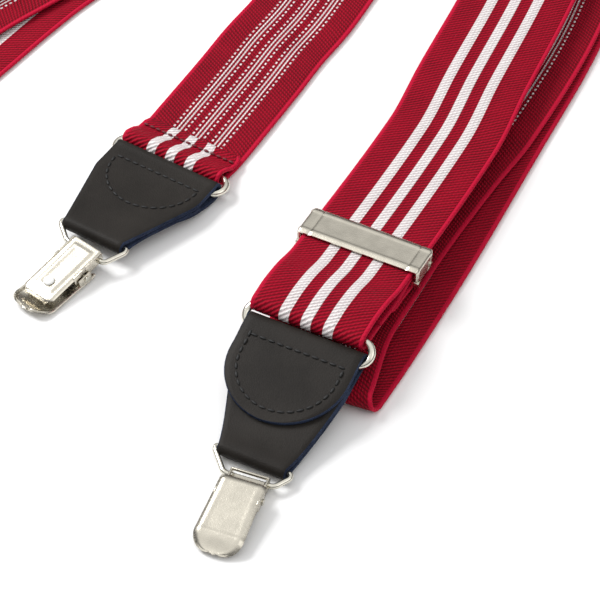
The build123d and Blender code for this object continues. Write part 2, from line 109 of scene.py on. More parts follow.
# ---- Webbing ------------------------------------------------------------------------------
# Two lengths of 35 mm crimson elastic webbing. Its front is a fine twill with three solid white
# stripes; its back has ribs, and each stripe shows there as two thin lines between two dotted
# ones. Each strap runs from a front ring up through its adjuster, folds over twice, passes the
# back patch, folds over again, and is sewn round its rear ring.
WIDTH = 35.0
THICKNESS = 1.4
MIDDLE = THICKNESS / 2
SOFT_GAP = 0.3
RING_WIRE = 2.2
RING_WRAP = RING_WIRE / 2 + SOFT_GAP + MIDDLE
PATCH_LEATHER = 1.2
PATCH_GAP = 0.05
UNDER = PATCH_LEATHER + PATCH_GAP + MIDDLE
OVER = UNDER + THICKNESS + PATCH_GAP
STRAIGHT_START = 24.0
STRAIGHT_END = 88.0
REAR_TAIL = 11.0
REAR_SEAM = 7.5
STEP = 1.6
FOLD_STEPS = 14
FOLD_EASE = 11.0
STRIPE_SPACING = 6.8
STRIPE_HALF = 1.55
# Half of the section, from the middle out: distance across, height of the front, of the back
SECTION = [(0.0, 0.66, 0.6), (0.8, 0.66, 0.6), (1.45, 0.65, 0.6), (1.65, 0.58, 0.6),
           (3.4, 0.6, 0.6), (5.15, 0.58, 0.6), (5.35, 0.65, 0.6), (6.8, 0.66, 0.6),
           (8.25, 0.65, 0.6), (8.45, 0.58, 0.6), (10.5, 0.6, 0.6), (13.0, 0.6, 0.6),
           (15.3, 0.58, 0.58), (16.0, 0.55, 0.55), (16.25, 0.42, 0.42), (16.5, 0.54, 0.54),
           (16.9, 0.6, 0.6), (17.25, 0.48, 0.48), (17.45, 0.22, 0.22)]

ROUTES = {
    1: [
        [(-58, -190, 9.8), (-45.5, -160, 9.3), (-32, -126, 9.3), (-21, -101, 9.6)],
        [(-19, -100, 2.9), (-21, -116, 2.9), (-27.5, -140, 2.9), (-38, -167, 2.9),
         (-56, -203, 2.9), (-67.5, -221.5, 3.0), (-83, -248.5, 3.3), (-94.5, -271.5, 4.1),
         (-102, -288, 4.9), (-107.6, -309, 5.9)],
        [(-104.9, -308.8, 0.7), (-94.6, -289.7, 0.7), (-77.2, -255, 0.7), (-53.7, -205, 0.7),
         (-34.9, -164.5, 0.7), (-20, -125.1, 0.7), (-9.2, -84.5, 0.7), (-3.4, -54, 0.7),
         (-0.8, -34, OVER), (0, 0, OVER), (-1.2, 34, OVER), (-3.8, 48, 1.6), (-8, 62, 0.7)],
        [(-10.5, 68, 5.4), (-35, 24, 4.4), (-56, -28, 3.9), (-79, -84, 2.0), (-103.6, -136, 0.7),
         (-111, -151, 0.7), (-119.3, -165, 0.7), (-126.6, -179, 0.7), (-138.5, -201, 0.9)],
    ],
    3: [
        [(-220, -131, 9.6), (-192, -112, 9.4), (-163, -98, 9.6)],
        [(-161, -101, 2.9), (-181, -116, 2.9), (-199.6, -132.4, 2.9), (-217.4, -148.8, 2.9),
         (-236, -171, 2.9), (-252, -199, 3.4), (-264, -229, 4.7)],
        [(-263, -230.5, 0.7), (-243, -203, 0.7), (-218.4, -169, 0.7), (-203, -147.2, 0.7),
         (-191.3, -132.3, 0.7), (-159.5, -98.4, 0.7), (-122.1, -67.9, 0.7), (-83.9, -41.1, 0.7),
         (-46, -19.5, 0.7), (-24, -9.5, UNDER), (0, 0, UNDER), (24, 8.2, UNDER), (44, 14.6, 0.7),
         (62, 19.5, 0.7)],
        [(68, 18, 4.5), (54, -40, 2.6), (43, -95, 1.2), (32, -150, 0.7), (22, -205, 0.7)],
    ],
}


def level(vector):
    return Vector((vector.x, vector.y, 0)).normalized()


def turned_right(vector):
    return Vector((vector.y, -vector.x, 0))


class End:
    """One clip end: its bars and directions, from the joints that turn about them. In mm."""

    def __init__(self, number):
        self.face = 1 if number in FRONT_ENDS else -1
        self.across = Vector(joints[f"tab_{number}_swing"]["axis"]).normalized()
        self.out = Vector((-self.across.y, self.across.x, 0))
        self.webbing_bar = Vector(joints[f"ring_{number}_swing"]["pos_m"]) / MM
        self.leather_bar = Vector(joints[f"tab_{number}_swing"]["pos_m"]) / MM
        self.loop_bar = Vector(joints[f"loop_{number}_swing"]["pos_m"]) / MM
        self.loop_pivot = Vector(joints[f"clip_{number}_swing"]["pos_m"]) / MM
        self.clip_right = Vector(joints[f"clip_{number}_swing"]["axis"]).normalized()
        self.clip_out = Vector((-self.clip_right.y, self.clip_right.x, 0))

    def over_ring(self, distance, height):
        spot = self.webbing_bar + self.out * distance
        return Vector((spot.x, spot.y, height))


ends = {number: End(number) for number in ENDS}


def as_piece(name, shaped):
    """A finished mesh as a piece of its own."""
    made = bpy.data.meshes.new(name)
    shaped.to_mesh(made)
    shaped.free()
    piece = bpy.data.objects.new(name, made)
    bpy.context.collection.objects.link(piece)
    return piece


def smooth_leg(points):
    """Even steps along a smooth curve through a leg's points."""
    padded = [points[0] * 2 - points[1]] + points + [points[-1] * 2 - points[-2]]
    fine = []
    for before, start, stop, after in zip(padded, padded[1:], padded[2:], padded[3:]):
        span = (stop - start).length
        lead_in = (stop - before) * (span / ((start - before).length + span))
        lead_out = (after - start) * (span / ((after - stop).length + span))
        for i in range(24):
            t = i / 24
            fine.append(start * (2 * t**3 - 3 * t**2 + 1) + lead_in * (t**3 - 2 * t**2 + t)
                        + stop * (3 * t**2 - 2 * t**3) + lead_out * (t**3 - t**2))
    fine.append(points[-1])
    total = sum((b - a).length for a, b in zip(fine, fine[1:]))
    count = max(4, round(total / STEP))
    even, walked, target = [fine[0]], 0.0, total / count
    for a, b in zip(fine, fine[1:]):
        piece = (b - a).length
        while walked + piece >= target * len(even) and len(even) < count:
            even.append(a.lerp(b, (target * len(even) - walked) / piece))
        walked += piece
    return even + [fine[-1]]


def webbing_stations(legs):
    """Stations (middle, sideways unit vector, stretch across, normal, distance) of a ribbon."""
    legs = [smooth_leg([Vector(point) for point in leg]) for leg in legs]
    folds = [(level(a[-1] - a[-2]) - level(b[1] - b[0])).normalized()
             for a, b in zip(legs, legs[1:])]
    stations, side = [], 1
    for number, leg in enumerate(legs):
        gone, whole = 0.0, sum((b - a).length for a, b in zip(leg, leg[1:]))
        for i, point in enumerate(leg):
            along = (leg[min(i + 1, len(leg) - 1)] - leg[max(i - 1, 0)]).normalized()
            gone += (point - leg[i - 1]).length if i else 0
            forward = level(along)
            across = turned_right(forward)
            share, fold = 0.0, None
            if number > 0 and gone < FOLD_EASE:
                share, fold = 1 - gone / FOLD_EASE, folds[number - 1] * -1
            if number < len(folds) and whole - gone < FOLD_EASE:
                share, fold = 1 - (whole - gone) / FOLD_EASE, folds[number]
            if fold is not None:
                skew = turned_right(fold) / max(0.6, fold.dot(forward))
                across = across.lerp(skew, share * share * (3 - 2 * share))
            across = across * side
            stations.append((point, across, across.cross(along).normalized()))
        if number < len(folds):
            start, stop = leg[-1], legs[number + 1][0]
            shift = Vector((stop.x - start.x, stop.y - start.y, 0))
            _, across, normal = stations[-1]
            rise = Vector((0, 0, start.z - stop.z))
            radius = abs(rise.z) / 2
            rise.normalize()
            sign = 1 if normal.dot(rise) > 0 else -1
            for i in range(1, FOLD_STEPS):
                angle = pi * i / FOLD_STEPS
                outward = folds[number] * sin(angle) + rise * cos(angle)
                middle = (start + stop - shift) / 2 + outward * radius + shift * (i / FOLD_STEPS)
                stations.append((middle, across, outward * sign))
        side = -side
    return stations


def section_points():
    """Closed section as (across, height, 0 on the front and 1 on the back), its back up first."""
    outer = list(reversed(SECTION[1:]))
    back = [(-a, b, 1.0) for a, _, b in outer] + [(a, b, 1.0) for a, _, b in SECTION]
    front = [(a, -f, 0.0) for a, f, _ in outer] + [(-a, -f, 0.0) for a, f, _ in SECTION]
    edge = WIDTH / 2
    return back + [(edge, 0.0, 0.5)] + front + [(-edge, 0.0, 0.5)]


def webbing_mesh(name, legs):
    """Webbing along the legs, with its map of distances along and across, in metres."""
    stations = webbing_stations(legs)
    section = section_points()
    shaped = bmesh.new()
    weave = shaped.loops.layers.uv.new("weave")
    side = shaped.verts.layers.float.new("back")
    rows, gone = [], [0.0]
    for a, b in zip(stations, stations[1:]):
        gone.append(gone[-1] + (b[0] - a[0]).length)
    for number, (middle, across, normal) in enumerate(stations):
        left = gone[-1] - gone[number]
        narrow = 1.0
        if left < 2.5:
            narrow = 1 - 0.06 * ((2.5 - left) / 2.5) ** 2
        row = []
        for a, height, back in section:
            vertex = shaped.verts.new((middle + across * (a * narrow) + normal * height) * MM)
            vertex[side] = back
            row.append(vertex)
        rows.append(row)
    around = len(section)
    for number, (row, following) in enumerate(zip(rows, rows[1:])):
        for i in range(around):
            j = (i + 1) % around
            face = shaped.faces.new((row[i], row[j], following[j], following[i]))
            face.smooth = True
            spots = ((number, i), (number, j), (number + 1, j), (number + 1, i))
            for loop, (n, k) in zip(face.loops, spots):
                loop[weave].uv = (gone[n] * MM, section[k][0] * MM)
    for row, flip in ((rows[0], True), (rows[-1], False)):
        cap = shaped.faces.new(row if flip else list(reversed(row)))
        for loop in cap.loops:
            loop[weave].uv = (0, 0)
    bmesh.ops.recalc_face_normals(shaped, faces=shaped.faces)
    return as_piece(name, shaped), gone[-1]


def put(tree, kind, inputs=None, **settings):
    """Adds a node with its settings, and its inputs by name, each a value or another's output."""
    node = tree.nodes.new(kind)
    for name, value in settings.items():
        setattr(node, name, value)
    for name, value in (inputs or {}).items():
        if isinstance(value, bpy.types.NodeSocket):
            tree.links.new(value, node.inputs[name])
        else:
            node.inputs[name].default_value = value
    return node


# The room is bright above and dim near the horizon, which the metal shows.
sky = world.node_tree
facing = put(sky, "ShaderNodeTexCoord").outputs["Generated"]
upward = put(sky, "ShaderNodeSeparateXYZ", {"Vector": facing})
tone = put(sky, "ShaderNodeMapRange", {"Value": upward.outputs["Z"], "From Min": 0.1, "From Max": 1.0,
                                       "To Min": 0.12, "To Max": 1.3}, interpolation_type="SMOOTHSTEP")
sky.links.new(tone.outputs["Result"], sky.nodes["Background"].inputs["Color"])


def sums(tree, operation, *values):
    return put(tree, "ShaderNodeMath", dict(enumerate(values)), operation=operation).outputs[0]


def fade(tree, value, low, high):
    """0 below low, 1 above high, smooth between; low may be the larger."""
    start, stop, ends_at = (low, high, (0.0, 1.0)) if low < high else (high, low, (1.0, 0.0))
    return put(tree, "ShaderNodeMapRange", {"Value": value, "From Min": start, "From Max": stop,
                                            "To Min": ends_at[0], "To Max": ends_at[1]},
               interpolation_type="SMOOTHSTEP").outputs["Result"]


def mix(tree, share, first, second):
    node = put(tree, "ShaderNodeMix", data_type="RGBA")
    for socket, value in ((node.inputs[0], share), (node.inputs[6], first), (node.inputs[7], second)):
        if isinstance(value, bpy.types.NodeSocket):
            tree.links.new(value, socket)
        else:
            socket.default_value = value
    return node.outputs[2]


def new_group(name, inputs, outputs):
    """Empty shader group with float or vector sockets, by name and default."""
    group = bpy.data.node_groups.new(name, "ShaderNodeTree")
    for title, value in inputs.items():
        kind = "NodeSocketVector" if value is None else "NodeSocketFloat"
        socket = group.interface.new_socket(title, in_out="INPUT", socket_type=kind)
        if value is not None:
            socket.default_value = value
    for title in outputs:
        group.interface.new_socket(title, in_out="OUTPUT", socket_type="NodeSocketFloat")
    return group, group.nodes.new("NodeGroupInput").outputs, group.nodes.new("NodeGroupOutput")


def material(name):
    made = bpy.data.materials.new(name)
    made.use_nodes = True
    tree = made.node_tree
    return made, tree, tree.nodes["Principled BSDF"]


def wear_group():
    """Slow, patchy variation over a surface, and fine grains. 0.5 is the mean of both."""
    group, given, out = new_group("wear", {"Patch size": 8.0, "Grain size": 0.6},
                                  ("Patches", "Grains"))
    place = put(group, "ShaderNodeTexCoord").outputs["Object"]
    for title, source, detail in (("Patches", "Patch size", 3.0), ("Grains", "Grain size", 2.0)):
        scale = sums(group, "DIVIDE", 1000.0, given[source])
        noise = put(group, "ShaderNodeTexNoise", {"Vector": place, "Scale": scale, "Detail": detail})
        group.links.new(noise.outputs["Fac"], out.inputs[title])
    return group


def ribs_group():
    """Slanting ribs of yarn on a map in metres: their height from 0 to 1."""
    group, given, out = new_group(
        "ribs", {"Map": None, "Pitch": 1.1, "Slant": 0.7, "Yarn": 0.55, "Break": 0.4}, ("Height",))
    split = put(group, "ShaderNodeSeparateXYZ", {"Vector": given["Map"]})
    wobble = put(group, "ShaderNodeTexNoise", {"Vector": given["Map"], "Scale": 420.0, "Detail": 2.0})
    along = sums(group, "MULTIPLY", split.outputs["X"], 1000.0)
    across = sums(group, "MULTIPLY", split.outputs["Y"], 1000.0)
    lean = sums(group, "MULTIPLY", across, given["Slant"])
    uneven = sums(group, "MULTIPLY", wobble.outputs["Fac"], 0.5)
    phase = sums(group, "DIVIDE", sums(group, "ADD", sums(group, "ADD", along, lean), uneven),
                 given["Pitch"])
    rib = sums(group, "SINE", sums(group, "MULTIPLY", phase, 2 * pi))
    rib = sums(group, "MULTIPLY_ADD", rib, 0.5, 0.5)
    strand = sums(group, "SINE", sums(group, "MULTIPLY", sums(group, "DIVIDE", across, given["Yarn"]),
                                      2 * pi))
    strand = sums(group, "MULTIPLY_ADD", strand, 0.5, 0.5)
    cut = sums(group, "SUBTRACT", 1.0, sums(group, "MULTIPLY", given["Break"], strand))
    group.links.new(sums(group, "MULTIPLY", rib, cut), out.inputs["Height"])
    return group


WEAR = wear_group()
RIBS = ribs_group()


def use(tree, group, **values):
    """Places a group in a material, with values for its sockets (underscores stand for spaces)."""
    node = tree.nodes.new("ShaderNodeGroup")
    node.node_tree = group
    for name, value in values.items():
        socket = node.inputs[name.replace("_", " ")]
        if isinstance(value, bpy.types.NodeSocket):
            tree.links.new(value, socket)
        else:
            socket.default_value = value
    return node.outputs


# The darker red and the darker white are painted shade for the grooves between the ribs, and also the tone
# of darker random patches.
RED = (0.37, 0.0012, 0.018, 1)
PAINTED_SHADE_AND_PATCH_RED = (0.085, 0.0003, 0.004, 1)
# Painted highlight: a lighter red all along the selvedge.
PAINTED_HIGHLIGHT_EDGE_RED = (0.47, 0.004, 0.032, 1)
WHITE = (0.84, 0.80, 0.79, 1)
PAINTED_SHADE_AND_PATCH_WHITE = (0.50, 0.42, 0.43, 1)


def webbing_material():
    made, tree, shader = material("crimson_webbing")
    placed = put(tree, "ShaderNodeUVMap", uv_map="weave").outputs["UV"]
    back = put(tree, "ShaderNodeAttribute", attribute_name="back").outputs["Fac"]
    back = fade(tree, back, 0.45, 0.55)
    split = put(tree, "ShaderNodeSeparateXYZ", {"Vector": placed})
    along = sums(tree, "MULTIPLY", split.outputs["X"], 1000.0)
    across = sums(tree, "MULTIPLY", split.outputs["Y"], 1000.0)
    outward = sums(tree, "ABSOLUTE", across)
    from_stripe = sums(tree, "ABSOLUTE", sums(tree, "WRAP", across, STRIPE_SPACING / 2,
                                              -STRIPE_SPACING / 2))
    striped = fade(tree, outward, STRIPE_SPACING * 1.5 + 0.1, STRIPE_SPACING * 1.5 - 0.1)
    solid = sums(tree, "MULTIPLY", fade(tree, from_stripe, STRIPE_HALF + 0.1, STRIPE_HALF - 0.1),
                 striped)
    lines = sums(tree, "SUBTRACT", 1.0, fade(tree, sums(tree, "ABSOLUTE", sums(
        tree, "SUBTRACT", from_stripe, 0.62)), 0.18, 0.32))
    dots_row = sums(tree, "SUBTRACT", 1.0, fade(tree, sums(tree, "ABSOLUTE", sums(
        tree, "SUBTRACT", from_stripe, 2.0)), 0.2, 0.38))
    beat = sums(tree, "SINE", sums(tree, "MULTIPLY", along, 2 * pi / 1.9))
    dots = sums(tree, "MULTIPLY", dots_row, fade(tree, beat, -0.2, 0.3))
    thin = sums(tree, "MULTIPLY", sums(tree, "MAXIMUM", lines, dots), striped)
    front_ribs = use(tree, RIBS, Map=placed, Pitch=1.35, Slant=0.75, Yarn=1.05, Break=0.4)["Height"]
    back_ribs = use(tree, RIBS, Map=placed, Pitch=1.25, Slant=0.55, Yarn=0.95, Break=0.75)["Height"]
    ribs = put(tree, "ShaderNodeMix", {0: back, 2: front_ribs, 3: back_ribs}, data_type="FLOAT").outputs[0]
    white = put(tree, "ShaderNodeMix", {0: back, 2: solid, 3: thin}, data_type="FLOAT").outputs[0]
    selvedge = fade(tree, outward, 16.15, 16.35)
    wear = use(tree, WEAR, Patch_size=9.0, Grain_size=0.35)
    # Painted shade: the red and the white darken in the grooves between the ribs, and also in random
    # patches and grains.
    rib_shade_and_patches = sums(tree, "MULTIPLY_ADD", wear["Patches"], 0.35, sums(
        tree, "MULTIPLY_ADD", wear["Grains"], 0.35, sums(tree, "MULTIPLY", ribs, 0.9)))
    rib_shade_and_patches = fade(tree, rib_shade_and_patches, 0.15, 1.0)
    red = mix(tree, rib_shade_and_patches, PAINTED_SHADE_AND_PATCH_RED, RED)
    # Painted highlight: the selvedge is coloured a lighter red all along the edge.
    red = mix(tree, selvedge, red, PAINTED_HIGHLIGHT_EDGE_RED)
    pale = mix(tree, rib_shade_and_patches, PAINTED_SHADE_AND_PATCH_WHITE, WHITE)
    tree.links.new(mix(tree, white, red, pale), shader.inputs["Base Color"])
    height = sums(tree, "MULTIPLY", ribs, sums(tree, "SUBTRACT", 1.0, sums(
        tree, "MULTIPLY", selvedge, 0.7)))
    height = sums(tree, "MULTIPLY_ADD", wear["Grains"], 0.35, height)
    bump = put(tree, "ShaderNodeBump", {"Height": height, "Strength": 0.8, "Distance": 0.00045})
    tree.links.new(bump.outputs["Normal"], shader.inputs["Normal"])
    rough = sums(tree, "MULTIPLY_ADD", wear["Grains"], 0.2, 0.6)
    tree.links.new(rough, shader.inputs["Roughness"])
    shader.inputs["Sheen Weight"].default_value = 0.03
    shader.inputs["Sheen Roughness"].default_value = 0.4
    shader.inputs["Sheen Tint"].default_value = (1.0, 0.35, 0.45, 1)
    shader.inputs["Specular IOR Level"].default_value = 0.12
    return made


CRIMSON = webbing_material()
for number, route, rear in ((1, ROUTES[1], 2), (2, ROUTES[3], 4)):
    end, last = ends[number * 2 - 1], ends[rear]
    z = end.webbing_bar.z
    back = [end.over_ring(9, z - RING_WRAP - 0.6), end.over_ring(4, z - RING_WRAP - 0.3),
            end.over_ring(0, z - RING_WRAP)]
    front = [end.over_ring(0, z + RING_WRAP), end.over_ring(6, z + RING_WRAP + 0.5),
             end.over_ring(14, z + RING_WRAP - 0.4), end.over_ring(STRAIGHT_START, z - 0.8),
             end.over_ring(STRAIGHT_END, z - 3.6)]
    z = last.webbing_bar.z
    on_top = MIDDLE + THICKNESS + SOFT_GAP
    down = [last.over_ring(9, MIDDLE), last.over_ring(4, MIDDLE + 0.3),
            last.over_ring(0, z - RING_WRAP)]
    tail = [last.over_ring(0, z + RING_WRAP), last.over_ring(3.4, z + RING_WRAP - 1.4),
            last.over_ring(REAR_SEAM - 1.5, on_top), last.over_ring(REAR_TAIL, on_top)]
    legs = [back, front + route[0]] + route[1:-1] + [route[-1] + down, tail]
    piece, length = webbing_mesh(f"webbing_{number}", legs)
    piece.data.materials.append(CRIMSON)
    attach(piece, "root")
    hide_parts(f"strap_{number}")


# ---- Sewn front ends of the webbing --------------------------------------------------------
# Behind each front ring's webbing the strap's own end goes up, round the adjuster's bar and
# back down, and is sewn there.
BAR_WRAP = 1.0 + SOFT_GAP + MIDDLE
FRONT_TAIL = 13.0
for number in FRONT_ENDS:
    end = ends[number]
    low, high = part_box(f"adjuster_bar_{number}")
    bar = (low + high) / 2 / MM
    from_ring = (bar - end.webbing_bar).dot(end.out)
    up = [end.over_ring(9.3, end.webbing_bar.z - RING_WRAP - 0.6),
          end.over_ring(from_ring - 10, bar.z + 1.0), bar + UP * BAR_WRAP]
    down = [bar - UP * BAR_WRAP, end.over_ring(from_ring - 7, bar.z - 0.9),
            end.over_ring(from_ring - FRONT_TAIL, bar.z - 0.9)]
    piece, length = webbing_mesh(f"webbing_tail_{number}", [up, down])
    piece.data.materials.append(CRIMSON)
    start = end.over_ring(10, bar.z) * MM
    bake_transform(piece)
    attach(piece, "root")
    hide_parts(f"strap_tail_{number}")


# ---- Thread -------------------------------------------------------------------------------
# Lockstitches of twisted thread: each one dips into the leather or webbing at both ends.
STITCH_TURNS = 10


def thread_material(name, colour):
    made, tree, shader = material(name)
    wear = use(tree, WEAR, Patch_size=2.0, Grain_size=0.18)
    dark = tuple(part * 0.5 for part in colour[:3]) + (1,)
    tree.links.new(mix(tree, wear["Grains"], dark, colour), shader.inputs["Base Color"])
    bump = put(tree, "ShaderNodeBump", {"Height": wear["Grains"], "Strength": 0.5, "Distance": 0.0001})
    tree.links.new(bump.outputs["Normal"], shader.inputs["Normal"])
    tree.links.new(sums(tree, "MULTIPLY_ADD", wear["Patches"], 0.2, 0.5), shader.inputs["Roughness"])
    return made


BLACK_THREAD = thread_material("black_thread", (0.0035, 0.0035, 0.004, 1))
RED_THREAD = thread_material("dark_red_thread", (0.16, 0.003, 0.012, 1))


def stitches(name, rows, radius=0.36, length=2.0, pitch=2.6):
    """Stitches along rows of (points, outward normal), in mm, as one mesh."""
    shaped = bmesh.new()
    for points, normal in rows:
        walked, target = 0.0, pitch / 2
        for a, b in zip(points, points[1:]):
            span = (b - a).length
            while span > 0 and walked + span >= target:
                middle = a.lerp(b, (target - walked) / span)
                along = (b - a).normalized()
                side = along.cross(normal).normalized()
                lift = side.cross(along)
                turn = Matrix((along, side, lift)).transposed().to_4x4()
                turn.translation = middle
                size = Matrix.Diagonal((length / 2, radius, radius * 0.75, 1))
                bmesh.ops.create_uvsphere(shaped, u_segments=STITCH_TURNS, v_segments=6,
                                          radius=1.0, matrix=turn @ size)
                target += pitch
            walked += span
    bmesh.ops.scale(shaped, vec=(MM, MM, MM), verts=shaped.verts)
    for face in shaped.faces:
        face.smooth = True
    return as_piece(name, shaped)


def finish_piece(piece, coat, body, slot, *nodes):
    """Material, body and the CAD nodes that the piece stands for; the slot is not used."""
    if not piece.data.materials:
        piece.data.materials.append(coat)
    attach(piece, body)
    if nodes:
        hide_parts(*nodes)


for number in ENDS:
    end = ends[number]
    low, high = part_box(f"webbing_seam_{number}")
    spot = (low + high) / 2 / MM
    normal = UP if number not in FRONT_ENDS else UP * -1
    ends_at = [spot + end.across * (16.4 * side) for side in (-1, 1)]
    piece = stitches(f"seam_stitches_{number}", [(ends_at, normal)], 0.42, 1.8, 2.2)
    body = f"adjuster_{number}" if number in FRONT_ENDS else "root"
    finish_piece(piece, RED_THREAD, body, "red_thread", f"webbing_seam_{number}")


# ---- Rings and wire loops ------------------------------------------------------------------
# Nickel plated steel wire: an oval ring between webbing and leather, and a trapezium whose long
# bar lies in the leather and whose ends spring into the clip's sides.
RING_BAR_SPACING = 7.2
RING_HALF = WIDTH / 2 - 1.8
RING_SHIFT = 1.2
LOOP_WIRE = 1.6
LOOP_HALF = 11.4
NECK_HALF = 7.3
STUB_HALF = 4.6
SHOULDER = 1.5
CORNER = 1.5


def nickel_material(name, colour, roughness, mottle):
    made, tree, shader = material(name)
    wear = use(tree, WEAR, Patch_size=3.5, Grain_size=0.45)
    dull = tuple(part * 0.86 for part in colour[:3]) + (1,)
    share = fade(tree, wear["Patches"], 0.25, 0.7)
    tree.links.new(mix(tree, share, dull, colour), shader.inputs["Base Color"])
    rough = sums(tree, "MULTIPLY_ADD", wear["Grains"], 0.12, roughness - 0.06)
    tree.links.new(rough, shader.inputs["Roughness"])
    height = sums(tree, "ADD", wear["Grains"], wear["Patches"])
    bump = put(tree, "ShaderNodeBump", {"Height": height, "Strength": mottle, "Distance": 0.0002})
    tree.links.new(bump.outputs["Normal"], shader.inputs["Normal"])
    shader.inputs["Metallic"].default_value = 1.0
    return made


NICKEL_WIRE = nickel_material("nickel_wire", (0.74, 0.71, 0.62, 1), 0.18, 0.08)
NICKEL_PLATE = nickel_material("nickel_plate", (0.66, 0.62, 0.53, 1), 0.27, 0.14)


def rounded(points, radius):
    """The points with each corner rounded off by a short curve."""
    path = [points[0]]
    for before, corner, after in zip(points, points[1:], points[2:]):
        reach = min(radius, (corner - before).length * 0.48, (after - corner).length * 0.48)
        start = corner + (before - corner).normalized() * reach
        stop = corner + (after - corner).normalized() * reach
        for i in range(7):
            t = i / 6
            path.append(start * (1 - t) ** 2 + corner * (2 * t * (1 - t)) + stop * t**2)
    return path + [points[-1]]


def wire(name, path, radius, closed=False, sides=16):
    """Round wire along a path, in mm."""
    shaped = bmesh.new()
    count = len(path)
    normal = None
    rows = []
    for i, point in enumerate(path):
        before = path[i - 1] if closed or i else path[0]
        after = path[(i + 1) % count] if closed or i < count - 1 else path[-1]
        along = (after - before).normalized()
        if normal is None:
            normal = along.orthogonal().normalized()
        normal = (normal - along * normal.dot(along)).normalized()
        side = along.cross(normal)
        rows.append([shaped.verts.new((point + normal * (radius * cos(2 * pi * k / sides))
                                       + side * (radius * sin(2 * pi * k / sides))) * MM)
                     for k in range(sides)])
    pairs = list(zip(rows, rows[1:])) + ([(rows[-1], rows[0])] if closed else [])
    for row, following in pairs:
        turn = 0
        if closed and row is rows[-1]:
            turn = min(range(sides), key=lambda k: (following[k].co - row[0].co).length)
        for k in range(sides):
            m = (k + 1) % sides
            face = shaped.faces.new((row[k], row[m], following[(m + turn) % sides],
                                     following[(k + turn) % sides]))
            face.smooth = True
    if not closed:
        shaped.faces.new(rows[0])
        shaped.faces.new(rows[-1])
    bmesh.ops.recalc_face_normals(shaped, faces=shaped.faces)
    return as_piece(name, shaped)


for number in ENDS:
    end = ends[number]
    middle = (end.webbing_bar + end.leather_bar) / 2 + end.across * RING_SHIFT
    rise = (end.webbing_bar - end.leather_bar).normalized()
    radius = RING_BAR_SPACING / 2
    oval = []
    for side in (1, -1):
        for i in range(17):
            angle = pi * i / 16
            oval.append(middle + end.across * (side * (RING_HALF + radius * sin(angle)))
                        + rise * (side * radius * cos(angle)))
        for i in range(1, 8):
            oval.append(middle + end.across * (side * RING_HALF * (1 - i / 4))
                        - rise * (side * radius))
    finish_piece(wire(f"wire_ring_{number}", oval, RING_WIRE / 2, closed=True), NICKEL_WIRE,
                 f"ring_{number}", "nickel_wire", f"ring_{number}")
    reach = (end.loop_pivot - end.loop_bar).normalized() * SHOULDER
    half = [end.loop_bar + end.across * LOOP_HALF, end.loop_bar + end.across * LOOP_HALF + reach,
            end.loop_pivot + end.clip_right * NECK_HALF, end.loop_pivot + end.clip_right * STUB_HALF]
    other = [end.loop_bar - end.across * LOOP_HALF, end.loop_bar - end.across * LOOP_HALF + reach,
             end.loop_pivot - end.clip_right * NECK_HALF, end.loop_pivot - end.clip_right * STUB_HALF]
    path = rounded(list(reversed(other)) + half, CORNER)
    finish_piece(wire(f"bent_loop_{number}", path, LOOP_WIRE / 2), NICKEL_WIRE,
                 f"loop_{number}", "nickel_wire", f"wire_loop_{number}")


# ---- Leather tabs --------------------------------------------------------------------------
# One strip of charcoal leather with a blue suede inner side and raw edges. It starts inside,
# goes down round the wire loop, up the back, over the ring, and ends in front as a half-round
# flap. A D of black stitches goes through all layers.
LEATHER = 1.3
LAYER_STEP = LEATHER + 0.1
AT_RING = RING_WIRE / 2 + 0.6 + LEATHER / 2
AT_LOOP = LOOP_WIRE / 2 + 0.1 + LEATHER / 2
INNER_END = 7.0
TAB_TOP = 36.0
TAB_BOTTOM = 20.8
TAPER_START = 9.0
ASKEW_START = 8.0
TOP_SHIFT = 1.2
TOP_RISE = 1.2
FLAP = {1: 26.4, -1: 22.0}
STITCH_INSET = 3.4


def leather_material(name, smooth_colour, light_colour, roughness, grain):
    made, tree, shader = material(name)
    wear = use(tree, WEAR, Patch_size=14.0, Grain_size=0.3)
    place = put(tree, "ShaderNodeTexCoord").outputs["Object"]
    cells = put(tree, "ShaderNodeTexVoronoi", {"Vector": place, "Scale": 1500.0},
                feature="DISTANCE_TO_EDGE")
    pores = fade(tree, cells.outputs["Distance"], 0.0, 0.22)
    tone = sums(tree, "MULTIPLY_ADD", wear["Grains"], 0.5, sums(tree, "MULTIPLY", wear["Patches"], 0.5))
    tree.links.new(mix(tree, fade(tree, tone, 0.3, 0.75), smooth_colour, light_colour),
                   shader.inputs["Base Color"])
    height = sums(tree, "MULTIPLY_ADD", pores, 0.6, wear["Grains"])
    bump = put(tree, "ShaderNodeBump", {"Height": height, "Strength": grain, "Distance": 0.00012})
    tree.links.new(bump.outputs["Normal"], shader.inputs["Normal"])
    tree.links.new(sums(tree, "MULTIPLY_ADD", wear["Grains"], 0.16, roughness), shader.inputs["Roughness"])
    shader.inputs["Specular IOR Level"].default_value = 0.16
    return made


CHARCOAL = leather_material("charcoal_leather", (0.010, 0.0082, 0.0068, 1),
                             (0.024, 0.0205, 0.0175, 1), 0.46, 0.35)
SUEDE = leather_material("blue_suede", (0.004, 0.006, 0.016, 1), (0.045, 0.065, 0.12, 1), 0.85, 0.9)


